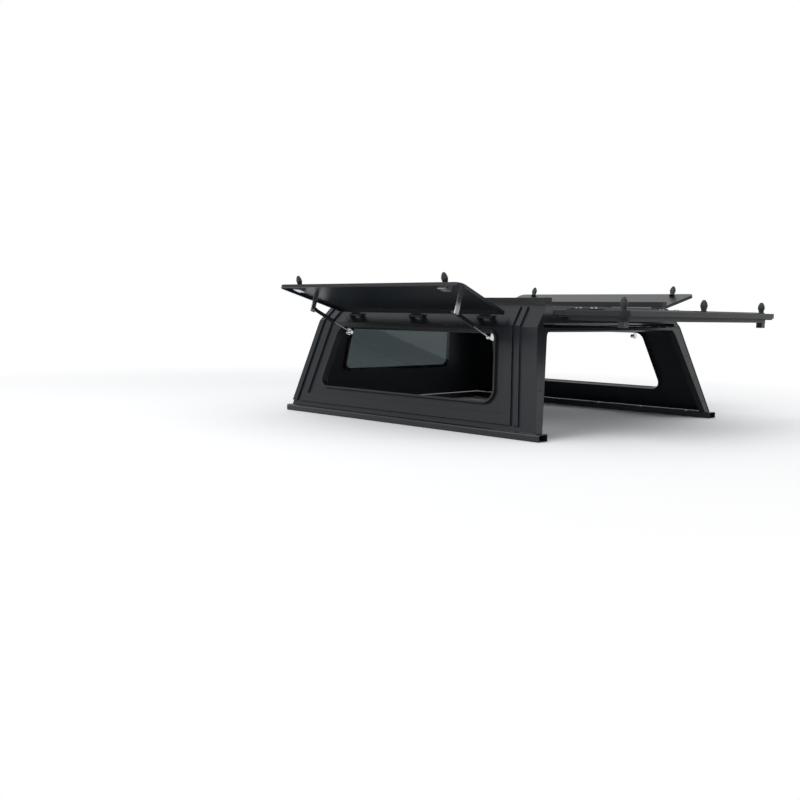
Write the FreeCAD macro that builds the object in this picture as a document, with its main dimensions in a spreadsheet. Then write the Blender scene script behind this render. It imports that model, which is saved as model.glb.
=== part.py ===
import FreeCAD, Part
import math
import os
import re
import Sketcher
from FreeCAD import Placement, Rotation, Vector

# Steel canopy for the bed of a pickup truck, with its two side doors and its rear door open.
# X points to the vehicle's right, Y to its front, Z up. The origin is the middle of the front base
# rail's underside, where the canopy rests on the bed. Lengths are in millimetres.

doc = FreeCAD.newDocument("PickupCanopy")
sheet = doc.addObject("Spreadsheet::Sheet", "sizes")

SIZES = {
    # base frame that rests on the bed rails
    "base_length": 1640,
    "base_half": 765,
    "rail_width": 60,
    "rail_height": 30,
    "rail_wall": 3,
    "rail_round": 9,
    # body: half-widths and heights of its outer skin, and how its ends lean
    "gauge": 2.5,
    "foot_half": 752,
    "shoulder_half": 612,
    "roof_half": 519,
    "shoulder_height": 466,
    "roof_height": 560,
    "rear_setback": 25,
    "front_lean": 0.135,
    "rear_lean": 0.257,
    "seam": 0.3,
    # side door opening, measured along the sloping side
    "opening_bottom": 115,
    "opening_top_margin": 27,
    "opening_front_margin": 177,
    "opening_rear_margin": 225,
    "opening_round": 45,
    "flange_depth": 26,
    # pressed ribs of the side
    "rib_rise": 9,
    "front_rib_width": 34,
    "front_rib_gap": 22,
    "frame_band": 44,
    "band_bottom": 24,
    "rear_rib_offset": 88,
    "rear_rib_width": 26,
    "rear_rib_gap": 14,
    # rear and front walls
    "pillar_width": 46,
    "rear_opening_height": 486,
    "rear_flange_depth": 30,
    "window_half": 420,
    "window_bottom": 175,
    "window_height": 250,
    "window_round": 35,
    "glass_gauge": 5,
    # seals
    "seal_width": 9,
    "seal_height": 13,
    # roof rails
    "roof_rail_width": 42,
    "roof_rail_height": 34,
    "roof_rail_foot": 10,
    "roof_rail_front": 90,
    "roof_rail_rear": 1440,
    # side doors
    "hinge_along": 40,
    "hinge_stand": 16,
    "door_open_angle": 89,
    "door_reach": 404,
    "door_back": 6,
    "door_depth": 16,
    "door_lift": 10,
    "door_margin": 26,
    "door_skin": 2,
    "door_rim": 8,
    "door_round": 30,
    "hinge_barrel": 7,
    "hinge_leaf": 4,
    "hinge_span": 60,
    # rear door
    "rear_hinge_height": 512,
    "rear_hinge_out": 12,
    "rear_door_reach": 470,
    "rear_door_half": 535,
    "rear_door_flare": 150,
    "rear_door_depth": 24,
    "rear_door_lift": 6,
    "rear_door_band": 62,
    "rear_door_angle": 75.6,
    # handles
    "handle_inset": 31,
    "handle_from_end": 120,
    "handle_stem": 7,
    "handle_height": 42,
    "handle_grip": 78,
    "handle_thick": 14,
    # struts
    "strut_tube": 9,
    "strut_rod": 4,
    "strut_grip": 243,
    "strut_hang": 50,
    "stud_down": 91,
    "stud_out": 7,
    "strut_from_end": 62,
    "strut_tube_length": 140,
    "strut_eye": 9,
    "eye_thick": 18,
    "stud_offset": 16,
    "strut_spare": 5,
    "fit": 0.3,
}
for row, (alias, number) in enumerate(SIZES.items(), start=1):
    sheet.set("A%d" % row, alias)
    sheet.set("B%d" % row, str(number))
    sheet.setAlias("B%d" % row, alias)
doc.recompute()


def size(alias):
    """The present value of a cell."""
    return float(sheet.get(alias))


def formula(text):
    """Turn plain words into references to the sheet's cells."""
    return re.sub(r"[a-z]+(_[a-z]+)*", lambda word: "sizes." + word.group(0)
                  if word.group(0) in SIZES else word.group(0), text)


def bind(thing, **places):
    """Tie properties of an object to the sheet."""
    for name, text in places.items():
        thing.setExpression(name.replace("__", "."), formula(text))


# Slopes of the body, worked out from the sheet.
side_rise = size("shoulder_height") - size("rail_height")
side_run = size("foot_half") - size("shoulder_half")
side_angle = math.degrees(math.atan2(side_run, side_rise))
side_slant = math.hypot(side_run, side_rise)
front_angle = math.degrees(math.atan(size("front_lean")))
rear_angle = math.degrees(math.atan(size("rear_lean")))
rear_foot = size("base_length") - size("rail_width") / 2 - size("rear_setback")
SLANT = "sqrt((foot_half - shoulder_half)^2 + (shoulder_height - rail_height)^2)"
RISE = "(shoulder_height - rail_height)"
COS_SIDE = "(%s / %s)" % (RISE, SLANT)
REAR_FOOT = "(base_length - rail_width / 2 - rear_setback)"
SHOULDER_RUN = "((shoulder_half - roof_half) / (roof_height - shoulder_height))"


def frame(origin, local_x, local_y, local_z):
    """A placement from its origin and its three axes."""
    matrix = FreeCAD.Matrix(local_x.x, local_y.x, local_z.x, origin.x,
                            local_x.y, local_y.y, local_z.y, origin.y,
                            local_x.z, local_y.z, local_z.z, origin.z, 0, 0, 0, 1)
    return Placement(matrix)


SIN_SIDE_N = math.sin(math.radians(side_angle))
COS_SIDE_N = math.cos(math.radians(side_angle))
# Left side: x runs rearwards, y up the slope, z outwards.
left_side_place = frame(Vector(-size("foot_half"), 0, size("rail_height")), Vector(0, -1, 0),
                        Vector(SIN_SIDE_N, 0, COS_SIDE_N), Vector(-COS_SIDE_N, 0, SIN_SIDE_N))
SHOULDER_ANGLE = math.atan2(size("shoulder_half") - size("roof_half"),
                            size("roof_height") - size("shoulder_height"))
# Left shoulder: x runs up the slope, y forwards, z outwards.
shoulder_place = frame(Vector(-size("shoulder_half"), 0, size("shoulder_height")),
                       Vector(math.sin(SHOULDER_ANGLE), 0, math.cos(SHOULDER_ANGLE)), Vector(0, 1, 0),
                       Vector(-math.cos(SHOULDER_ANGLE), 0, math.sin(SHOULDER_ANGLE)))
left_hinge = shoulder_place.multVec(Vector(size("hinge_along"), 0, size("hinge_stand")))
open_turn = Placement(left_hinge, Rotation(Vector(0, 1, 0), size("door_open_angle")))
closed_side = frame(Vector(0, 0, 0), Vector(0, -1, 0),
                    Vector(SIN_SIDE_N, 0, COS_SIDE_N), Vector(-COS_SIDE_N, 0, SIN_SIDE_N))
# Left door: x runs rearwards, y from the free edge to the hinge, z out of its outer face.
left_door_place = open_turn.multiply(closed_side)
LEAN = math.radians(front_angle)
front_place = frame(Vector(0, 0, size("rail_height")), Vector(1, 0, 0),
                    Vector(0, -math.sin(LEAN), math.cos(LEAN)), Vector(0, -math.cos(LEAN), -math.sin(LEAN)))
RAKE = math.radians(rear_angle)
rear_place = frame(Vector(0, -rear_foot, size("rail_height")), Vector(1, 0, 0),
                   Vector(0, math.sin(RAKE), math.cos(RAKE)), Vector(0, -math.cos(RAKE), math.sin(RAKE)))


def rear_plane_y(height):
    """How far forward the rear face is at a height."""
    return -rear_foot + size("rear_lean") * (height - size("rail_height"))


rear_hinge = Vector(0, rear_plane_y(size("rear_hinge_height")) - size("rear_hinge_out"),
                    size("rear_hinge_height"))
# Rear door, lying level: x to the right, y from its free edge to the hinge, z up.
rear_door_place = Placement(rear_hinge, Rotation())


def new_body(name, place=None):
    body = doc.addObject("PartDesign::Body", name)
    if place is not None:
        body.Placement = place
    return body


def plane_of(body, role):
    for feature in body.Origin.OriginFeatures:
        if feature.Role == role:
            return feature


def outline(body, corners, role="XY_Plane", lift=None):
    """A closed sketch through corners given as formulas."""
    sketch = body.newObject("Sketcher::SketchObject", body.Name + "_outline")
    sketch.AttachmentSupport = [(plane_of(body, role), "")]
    sketch.MapMode = "FlatFace"
    if lift is not None:
        bind(sketch, AttachmentOffset__Base__z=lift)
    count = len(corners)
    ring = [Vector(100 * math.cos(2 * math.pi * k / count), 100 * math.sin(2 * math.pi * k / count), 0)
            for k in range(count)]
    for k in range(count):
        sketch.addGeometry(Part.LineSegment(ring[k], ring[(k + 1) % count]), False)
    for k in range(count):
        sketch.addConstraint(Sketcher.Constraint("Coincident", k, 2, (k + 1) % count, 1))
    for k, (across, up) in enumerate(corners):
        for kind, text, start in (("DistanceX", across, ring[k].x), ("DistanceY", up, ring[k].y)):
            index = sketch.addConstraint(Sketcher.Constraint(kind, -1, 1, k, 1, start))
            sketch.setExpression("Constraints[%d]" % index, formula(text))
    return sketch


def pad(body, sketch, length, reverse=False, middle=False):
    feature = body.newObject("PartDesign::Pad", body.Name + "_pad")
    feature.Profile = sketch
    bind(feature, Length=length)
    feature.Reversed = reverse
    feature.Midplane = middle
    doc.recompute()
    return feature


def pocket(body, sketch, through=True):
    feature = body.newObject("PartDesign::Pocket", body.Name + "_pocket")
    feature.Profile = sketch
    feature.Type = 1
    feature.Midplane = through
    doc.recompute()
    return feature


def round_edges(body, base, radius, wanted):
    """Round the edges of a feature that a test picks."""
    names = ["Edge%d" % (k + 1) for k, edge in enumerate(base.Shape.Edges) if wanted(edge)]
    feature = body.newObject("PartDesign::Fillet", body.Name + "_round")
    feature.Base = (base, names)
    bind(feature, Radius=radius)
    doc.recompute()
    return feature


def along_local_z(edge):
    if not isinstance(edge.Curve, Part.Line):
        return False
    return abs(abs(edge.Curve.Direction.z) - 1) < 1e-6


def inside_box(edge, low, high):
    middle = edge.CenterOfMass
    return all(low[k] - 1e-3 <= middle[k] <= high[k] + 1e-3 for k in range(3))


def mirrored(source, label):
    twin = doc.addObject("Part::Mirroring", label)
    twin.Source = source
    twin.Normal = Vector(1, 0, 0)
    return twin


def box(name, length, width, height, place, shift=(0, 0, 0)):
    """A block with formula sizes, from a corner that is shifted in the placement's own axes."""
    block = doc.addObject("Part::Box", name)
    bind(block, Length=length, Width=width, Height=height)
    block.Placement = place.multiply(Placement(Vector(*shift), Rotation()))
    return block


def rod_between(name, start, end, radius):
    """A round bar from one point to another."""
    bar = doc.addObject("Part::Cylinder", name)
    bind(bar, Radius=radius)
    bar.Height = (end - start).Length
    bar.Placement = Placement(start, Rotation(Vector(0, 0, 1), end - start))
    return bar


def fused(name, pieces):
    whole = doc.addObject("Part::MultiFuse", name)
    whole.Shapes = pieces
    return whole


def together(name, pieces):
    """Like pieces of one body that don't touch, kept as one sub-part."""
    group = doc.addObject("Part::Compound", name)
    group.Links = pieces
    return group


nodes = {}


def keep(name, thing):
    thing.Label = name
    nodes[name] = thing
    return thing


def keep_pair(name, thing):
    """Keep a left piece and its mirror image on the right."""
    keep("left_" + name, thing)
    keep("right_" + name, mirrored(thing, "right_" + name))


# Base rails: box section with a rounded outer top edge.
def base_rails():
    body = new_body("left_rail", Placement(Vector(0, 0, 0), Rotation()))
    outer = outline(body, [("-base_half", "0"), ("-base_half + rail_width", "0"),
                           ("-base_half + rail_width", "rail_height"), ("-base_half", "rail_height")],
                    "XZ_Plane", "-rail_width / 2")
    solid = pad(body, outer, "base_length")
    low, high = solid.Shape.BoundBox.YMin, solid.Shape.BoundBox.YMax
    solid = round_edges(body, solid, "rail_round", lambda edge: edge.CenterOfMass.z > size("rail_height") - 1
                        and edge.CenterOfMass.x < -size("base_half") + 1 and edge.Length > high - low - 1)
    inner = outline(body, [("-base_half + rail_wall", "rail_wall"),
                           ("-base_half + rail_width - rail_wall", "rail_wall"),
                           ("-base_half + rail_width - rail_wall", "rail_height - rail_wall"),
                           ("-base_half + rail_wall + rail_round / 2", "rail_height - rail_wall"),
                           ("-base_half + rail_wall", "rail_height - rail_wall - rail_round / 2")],
                    "XZ_Plane")
    pocket(body, inner)
    keep_pair("base_rail", body)
    front = new_body("front_rail")
    ring = outline(front, [("-rail_width / 2", "0"), ("rail_width / 2", "0"),
                           ("rail_width / 2", "rail_height"), ("-rail_width / 2", "rail_height")], "YZ_Plane")
    pad(front, ring, "2 * (base_half - rail_width - seam)", middle=True)
    hollow = outline(front, [("-rail_width / 2 + rail_wall", "rail_wall"),
                             ("rail_width / 2 - rail_wall", "rail_wall"),
                             ("rail_width / 2 - rail_wall", "rail_height - rail_wall"),
                             ("-rail_width / 2 + rail_wall", "rail_height - rail_wall")], "YZ_Plane")
    pocket(front, hollow)
    keep("front_base_rail", front)


def side_edge(which, up, offset):
    """Across position on the side panel: an offset from its leaning front or rear edge."""
    if which == "front":
        return "front_lean * %s * (%s) + %s" % (COS_SIDE, up, offset)
    return "%s - rear_lean * %s * (%s) - (%s)" % (REAR_FOOT, COS_SIDE, up, offset)


def side_patch(front, rear, bottom, top):
    """Corners of a patch of the side panel, its ends parallel to the panel's ends."""
    return [(side_edge("front", bottom, front), bottom), (side_edge("rear", bottom, rear), bottom),
            (side_edge("rear", top, rear), top), (side_edge("front", top, front), top)]


def side_strip(which, start, width, bottom, top):
    """Corners of an upright strip beside one end of the side panel."""
    return [(side_edge(which, bottom, start), bottom),
            (side_edge(which, bottom, "%s + %s" % (start, width)), bottom),
            (side_edge(which, top, "%s + %s" % (start, width)), top), (side_edge(which, top, start), top)]


# Side frames: pressed sheet with a door opening, an in-turned flange and raised ribs.
def side_frames():
    body = new_body("left_side", left_side_place)
    skin = outline(body, side_patch("0", "0", "gauge / 2 + seam", SLANT))
    pad(body, skin, "gauge", reverse=True)
    open_top = "%s - opening_top_margin" % SLANT
    plug = outline(body, side_patch("opening_front_margin - gauge", "opening_rear_margin - gauge",
                                    "opening_bottom - gauge", open_top + " + gauge"))
    raised = pad(body, plug, "flange_depth", reverse=True)
    depth = -size("flange_depth")
    raised = round_edges(body, raised, "opening_round + gauge",
                         lambda edge: along_local_z(edge) and inside_box(
                             edge, (size("opening_front_margin") / 2, 5, depth),
                             (rear_foot - size("opening_rear_margin") / 2, side_slant - 5, 0)))
    for start, width in (("0", "front_rib_width"), ("front_rib_width + front_rib_gap", "frame_band")):
        pad(body, outline(body, side_strip("front", start, width, "band_bottom", SLANT)), "rib_rise")
    for start, width in (("rear_rib_offset", "rear_rib_width"),
                         ("rear_rib_offset + rear_rib_width + rear_rib_gap", "frame_band")):
        pad(body, outline(body, side_strip("rear", start, width, "band_bottom", SLANT)), "rib_rise")
    pad(body, outline(body, side_patch("front_rib_width + front_rib_gap",
                                       "rear_rib_offset + rear_rib_width + rear_rib_gap",
                                       "band_bottom", "band_bottom + frame_band")), "rib_rise")
    hole = new_body("left_side_hole", left_side_place)
    block = pad(hole, outline(hole, side_patch("opening_front_margin", "opening_rear_margin",
                                               "opening_bottom", open_top), lift="-2 * flange_depth"),
                "3 * flange_depth")
    round_edges(hole, block, "opening_round", along_local_z)
    pierced = doc.addObject("Part::Cut", "left_side_pierced")
    pierced.Base = body
    pierced.Tool = hole
    keep_pair("side_frame", pierced)


# Roof: one sheet bent at both shoulders, its ends cut to the front and rear slopes.
def roof():
    body = new_body("roof")
    wall = "gauge * sqrt(1 + %s^2)" % SHOULDER_RUN
    inner_corner = "(shoulder_half - %s - %s * (roof_height - gauge - shoulder_height))" % (wall, SHOULDER_RUN)
    section = outline(body, [("-shoulder_half", "shoulder_height"), ("-shoulder_half + %s" % wall, "shoulder_height"),
                             ("-" + inner_corner, "roof_height - gauge"), (inner_corner, "roof_height - gauge"),
                             ("shoulder_half - %s" % wall, "shoulder_height"), ("shoulder_half", "shoulder_height"),
                             ("roof_half", "roof_height"), ("-roof_half", "roof_height")], "XZ_Plane")
    pad(body, section, "base_length")
    far = "base_length * 2"
    front_cut = outline(body, [("-front_lean * (shoulder_height - rail_height) + front_lean * rail_height", "shoulder_height - rail_height"),
                               ("-front_lean * (roof_height)", "roof_height + rail_height"),
                               (far, "roof_height + rail_height"), (far, "shoulder_height - rail_height")],
                        "YZ_Plane")
    pocket(body, front_cut)
    rear_low = "-%s + rear_lean * (shoulder_height - 2 * rail_height)" % REAR_FOOT
    rear_high = "-%s + rear_lean * roof_height" % REAR_FOOT
    rear_cut = outline(body, [(rear_low, "shoulder_height - rail_height"),
                              (rear_high, "roof_height + rail_height"),
                              ("-" + far, "roof_height + rail_height"), ("-" + far, "shoulder_height - rail_height")],
                       "YZ_Plane")
    pocket(body, rear_cut)
    keep("roof_panel", body)


def half_width(height, inset):
    """Half-width of the space inside the body at a height up to the shoulder, as a formula."""
    return "(foot_half - (foot_half - shoulder_half) * (%s - rail_height) / %s - %s)" % (height, RISE, inset)


def end_outline(cos_text, inset):
    """Cross-section of the body inside its skins, drawn in the plane of a leaning end wall."""
    skin = "gauge * 1.5 + seam"
    roof_corner = "(roof_half - %s * 0.5)" % skin
    shoulder = "(shoulder_height - rail_height) / %s" % cos_text
    top = "(roof_height - gauge - seam - rail_height) / %s" % cos_text
    low = half_width("rail_height", skin)
    high = half_width("shoulder_height", skin)
    foot = "gauge + seam"
    return [("-" + low, foot), (low, foot), (high, shoulder), (roof_corner, top),
            ("-" + roof_corner, top), ("-" + high, shoulder)]


COS_FRONT = "cos(atan(front_lean))"
COS_REAR = "cos(atan(rear_lean))"


# Front wall with its fixed window.
def front_wall():
    body = new_body("front_wall", front_place)
    wall = pad(body, outline(body, end_outline(COS_FRONT, "0"), lift="gauge"), "gauge")
    bottom = "window_bottom"
    rim = [("-window_half", bottom), ("window_half", bottom),
           ("window_half - 30", bottom + " + window_height"), ("-window_half + 30", bottom + " + window_height")]
    cut = pocket(body, outline(body, rim))
    round_edges(body, cut, "window_round", lambda edge: along_local_z(edge) and inside_box(
        edge, (-size("window_half") - 1, size("window_bottom") - 1, 0),
        (size("window_half") + 1, size("window_bottom") + size("window_height") + 1, 50)))
    keep("front_panel", body)

    def window_shape(name, grow, lift, depth):
        piece = new_body(name, front_place)
        edge_points = [("-window_half - (%s)" % grow, bottom + " - (%s)" % grow),
                       ("window_half + (%s)" % grow, bottom + " - (%s)" % grow),
                       ("window_half - 30 + (%s)" % grow, bottom + " + window_height + (%s)" % grow),
                       ("-window_half + 30 - (%s)" % grow, bottom + " + window_height + (%s)" % grow)]
        solid = pad(piece, outline(piece, edge_points, lift=lift), depth)
        round_edges(piece, solid, "window_round", along_local_z)
        return piece

    seal_body = window_shape("window_seal_outer", "seal_width", "2 * gauge", "glass_gauge")
    hole = window_shape("window_seal_inner", "-seal_width + seam", "0", "glass_gauge * 5")
    ring = doc.addObject("Part::Cut", "window_seal")
    ring.Base = seal_body
    ring.Tool = hole
    keep("front_window_seal", ring)
    glass = window_shape("window_glass", "seal_width - 1", "2 * gauge + glass_gauge", "glass_gauge")
    keep("front_window", glass)


# Rear pillars and header round the rear opening, with a flange turned forwards.
def rear_frame():
    skin = "gauge * 1.5 + seam"
    top = "(shoulder_height - rail_height - seam) / %s" % COS_REAR
    body = new_body("left_pillar", rear_place)
    low = half_width("rail_height", skin)
    high = half_width("shoulder_height", skin)
    face = [("-" + low, "seam"), ("-%s + pillar_width" % low, "seam"),
            ("-%s + pillar_width" % high, top), ("-" + high, top)]
    pad(body, outline(body, face, lift="-gauge"), "gauge", reverse=True)
    lip = [("-%s + pillar_width - gauge" % low, "seam"), ("-%s + pillar_width" % low, "seam"),
           ("-%s + pillar_width" % high, top), ("-%s + pillar_width - gauge" % high, top)]
    pad(body, outline(body, lip, lift="-gauge"), "rear_flange_depth", reverse=True)
    pocket(body, outline(body, [("-base_half", "gauge"), ("0", "gauge"), ("seam", "0"),
                                ("base_half * rear_lean", "-base_half"), ("-base_half", "-base_half")],
                         "YZ_Plane"))
    keep("rear_left_pillar", body)
    keep("rear_right_pillar", mirrored(body, "rear_right_pillar"))
    header = new_body("header", rear_place)
    shoulder = "(shoulder_height - rail_height) / %s" % COS_REAR
    peak = "(roof_height - gauge - seam - rail_height) / %s" % COS_REAR
    roof_corner = "(roof_half - (%s) * 0.5)" % skin
    pad(header, outline(header, [("-" + high, shoulder), (high, shoulder), (roof_corner, peak),
                                 ("-" + roof_corner, peak)], lift="-gauge"), "gauge", reverse=True)
    gap_top = "(rear_opening_height - rail_height) / %s" % COS_REAR
    lip_half = "(%s - pillar_width - 4)" % high
    pad(header, outline(header, [("-" + lip_half, gap_top), (lip_half, gap_top),
                                 (lip_half, gap_top + " + gauge"), ("-" + lip_half, gap_top + " + gauge")],
                        lift="-gauge"), "rear_flange_depth", reverse=True)
    pocket(header, outline(header, [("-" + lip_half, "0"), (lip_half, "0"), (lip_half, gap_top),
                                    ("-" + lip_half, gap_top)]))
    keep("rear_header", header)


# Rubber seals standing on the edges of the door openings.
def door_seals():
    def ring(name, grow, lift, depth):
        body = new_body(name, left_side_place)
        open_top = "%s - opening_top_margin" % SLANT
        solid = pad(body, outline(body, side_patch("opening_front_margin - (%s)" % grow,
                                                   "opening_rear_margin - (%s)" % grow,
                                                   "opening_bottom - (%s)" % grow, open_top + " + (%s)" % grow),
                                  lift=lift), depth)
        round_edges(body, solid, "opening_round + (%s)" % grow, along_local_z)
        return body
    outer = ring("left_seal_outer", "seal_width", "0", "seal_height")
    inner = ring("left_seal_inner", "0", "-seal_height", "seal_height * 3")
    cut = doc.addObject("Part::Cut", "left_seal")
    cut.Base = outer
    cut.Tool = inner
    keep_pair("door_seal", cut)


# Roof rails on feet, one over each shoulder.
def roof_rails():
    level = Placement(Vector(-size("roof_half") + 4, -size("roof_rail_front"), size("roof_height")), Rotation())
    length = "roof_rail_rear - roof_rail_front"
    bar = box("left_rail_bar", "roof_rail_width", length, "roof_rail_height - roof_rail_foot", level,
              (0, -(size("roof_rail_rear") - size("roof_rail_front")), size("roof_rail_foot")))
    pieces = [bar]
    run = size("roof_rail_rear") - size("roof_rail_front")
    for k in range(4):
        pieces.append(box("left_rail_foot_%d" % k, "roof_rail_width", "60", "roof_rail_foot", level,
                          (0, -60 - k * (run - 60) / 3, 0)))
    keep_pair("roof_rail", fused("left_roof_rail_whole", pieces))


door_bottom = -size("door_reach")
HINGES = 3


def door_ends():
    """Where a side door starts and ends along the canopy, at its hinge edge and at its free edge."""
    margin = size("door_margin")
    ends = []
    for up in (size("opening_bottom"), side_slant - size("opening_top_margin")):
        ends.append((size("front_lean") * COS_SIDE_N * up + size("opening_front_margin") - margin,
                     rear_foot - size("rear_lean") * COS_SIDE_N * up - size("opening_rear_margin") + margin))
    return ends


(front_low, rear_low), (front_high, rear_high) = door_ends()


def hinge_spots():
    """Middle of each hinge, as a distance behind the origin."""
    first, last = front_high + 110, rear_high - 110
    return [first + (last - first) * k / (HINGES - 1) for k in range(HINGES)]


strut_spots = (front_high + size("strut_from_end"), rear_high - size("strut_from_end"))


# Side door: a folded steel tray that lies over the opening, with its inner frame.
def side_doors():
    body = new_body("left_door", left_door_place)
    low_up = "opening_bottom"
    high_up = "%s - opening_top_margin" % SLANT
    corners = [(side_edge("front", low_up, "opening_front_margin - door_margin"), "-door_reach"),
               (side_edge("rear", low_up, "opening_rear_margin - door_margin"), "-door_reach"),
               (side_edge("rear", high_up, "opening_rear_margin - door_margin"), "-door_back"),
               (side_edge("front", high_up, "opening_front_margin - door_margin"), "-door_back")]
    tray = pad(body, outline(body, corners, lift="door_lift"), "door_depth")
    tray = round_edges(body, tray, "door_round", lambda edge: along_local_z(edge)
                       and edge.CenterOfMass.y < -size("door_reach") / 2)
    wall = "door_skin"
    inner = [(side_edge("front", low_up, "opening_front_margin - door_margin + door_rim"), "-door_reach + door_rim"),
             (side_edge("rear", low_up, "opening_rear_margin - door_margin + door_rim"), "-door_reach + door_rim"),
             (side_edge("rear", high_up, "opening_rear_margin - door_margin + door_rim"), "-door_back - door_rim"),
             (side_edge("front", high_up, "opening_front_margin - door_margin + door_rim"), "-door_back - door_rim")]
    hollow = outline(body, inner, lift="door_lift + door_depth - %s" % wall)
    cut = body.newObject("PartDesign::Pocket", "left_door_hollow")
    cut.Profile = hollow
    bind(cut, Length="door_depth - %s" % wall)
    cut.Reversed = False
    doc.recompute()
    keep_pair("door_panel", body)

    arms = []
    brackets = []
    for k, spot in enumerate(hinge_spots()):
        half = size("hinge_span") / 2
        barrel = rod_between("left_barrel_%d" % k, left_hinge + Vector(0, -spot - half, 0),
                             left_hinge + Vector(0, -spot + half, 0), "hinge_barrel")
        leaf = box("left_leaf_%d" % k, "hinge_span", "hinge_leaf", "door_lift + door_depth", left_door_place,
                   (spot - half, -size("door_back"), 0))
        plate = fused("left_arm_whole_%d" % k, [barrel, leaf])
        arms.append(plate)
        for side in (-1, 1):
            start = left_hinge + Vector(0, -spot + side * (half + size("fit")), 0)
            knuckle = rod_between("left_knuckle_%d_%d" % (k, side), start,
                                  start + Vector(0, side * 14, 0), "hinge_barrel")
            foot = box("left_hinge_foot_%d_%d" % (k, side), "22", "14", "hinge_stand", shoulder_place,
                       (size("hinge_along") - 11, -spot + side * (half + size("fit")) + min(0, side * 14), 0))
            brackets.append(fused("left_hinge_post_%d_%d" % (k, side), [knuckle, foot]))
    keep_pair("door_hinge_arms", together("left_arms", arms))
    keep_pair("hinge_brackets", together("left_brackets", brackets))


# Rear door: a steel frame that holds a pane of glass.
def rear_door():
    body = new_body("rear_door", rear_door_place)
    corners = [("-rear_door_half - rear_door_flare", "-rear_door_reach"),
               ("rear_door_half + rear_door_flare", "-rear_door_reach"),
               ("rear_door_half", "-2 * hinge_barrel"), ("-rear_door_half", "-2 * hinge_barrel")]
    solid = pad(body, outline(body, corners, lift="rear_door_lift"), "rear_door_depth")
    solid = round_edges(body, solid, "door_round", along_local_z)
    pane = [("-rear_door_half - rear_door_flare + rear_door_band", "-rear_door_reach + rear_door_band"),
            ("rear_door_half + rear_door_flare - rear_door_band", "-rear_door_reach + rear_door_band"),
            ("rear_door_half - rear_door_band", "-2 * hinge_barrel - rear_door_band"),
            ("-rear_door_half + rear_door_band", "-2 * hinge_barrel - rear_door_band")]
    pocket(body, outline(body, pane))
    keep("rear_door_frame", body)
    glass = new_body("rear_glass", rear_door_place)
    lapped = [("-rear_door_half - rear_door_flare + rear_door_band - 15", "-rear_door_reach + rear_door_band - 15"),
              ("rear_door_half + rear_door_flare - rear_door_band + 15", "-rear_door_reach + rear_door_band - 15"),
              ("rear_door_half - rear_door_band + 15", "-2 * hinge_barrel - rear_door_band + 15"),
              ("-rear_door_half + rear_door_band - 15", "-2 * hinge_barrel - rear_door_band + 15")]
    pad(glass, outline(glass, lapped, lift="rear_door_lift + rear_door_depth"), "glass_gauge")
    keep("rear_door_glass", glass)
    arms = []
    posts = []
    for k, spot in enumerate((-360, 360)):
        half = size("hinge_span") / 2
        barrel = rod_between("rear_barrel_%d" % k, rear_hinge + Vector(spot - half, 0, 0),
                             rear_hinge + Vector(spot + half, 0, 0), "hinge_barrel")
        arm = box("rear_arm_%d" % k, "hinge_span", "50", "4", rear_door_place, (spot - half, -54, 2))
        arms.append(fused("rear_arm_whole_%d" % k, [barrel, arm]))
        for side in (-1, 1):
            start = rear_hinge + Vector(spot + side * (half + size("fit")), 0, 0)
            knuckle = rod_between("rear_knuckle_%d_%d" % (k, side), start,
                                  start + Vector(side * 14, 0, 0), "hinge_barrel")
            stand = rear_place.inverse().multVec(start)
            foot = box("rear_hinge_foot_%d_%d" % (k, side), "14", "10", str(stand.z + size("gauge")), rear_place,
                       (stand.x + min(0, side * 14), stand.y - 5, -size("gauge")))
            posts.append(fused("rear_hinge_post_%d_%d" % (k, side), [knuckle, foot]))
    keep("rear_door_hinge_arms", together("rear_arms", arms))
    keep("rear_hinge_brackets", together("rear_posts", posts))


# T-handles that stand on the outer face of each door.
def handle(name, place, across, up, lift):
    pivot = place.multiply(Placement(Vector(across, up, lift + size("fit")), Rotation()))
    stem = doc.addObject("Part::Cylinder", name + "_stem")
    bind(stem, Radius="handle_stem", Height="handle_height - handle_thick")
    stem.Placement = pivot
    collar = doc.addObject("Part::Cylinder", name + "_collar")
    bind(collar, Radius="handle_stem * 2", Height="6")
    collar.Placement = pivot
    grip = box(name + "_grip", "handle_grip", "handle_thick", "handle_thick", pivot,
               (-size("handle_grip") / 2, -size("handle_thick") / 2,
                size("handle_height") - size("handle_thick")))
    return fused(name, [stem, collar, grip])


handle_across = {"front": front_low + size("handle_from_end"), "rear": rear_low - size("handle_from_end")}


def handle_spot(end):
    """Where a left door's handle meets its outer face."""
    return left_door_place.multVec(Vector(handle_across[end], -size("door_reach") + size("handle_inset"),
                                          size("door_lift") + size("door_depth")))


def rear_handle_spot():
    return rear_door_place.multVec(Vector(0, -size("rear_door_reach") + size("handle_inset"),
                                          size("rear_door_lift") + size("rear_door_depth")))


def handles():
    for end in ("front", "rear"):
        pivot = Placement(handle_spot(end), left_door_place.Rotation)
        keep_pair(end + "_handle", handle("left_%s_handle" % end, pivot, 0, 0, 0))
    keep("rear_door_handle", handle("rear_door_handle_whole", Placement(rear_handle_spot(), Rotation()), 0, 0, 0))


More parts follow.
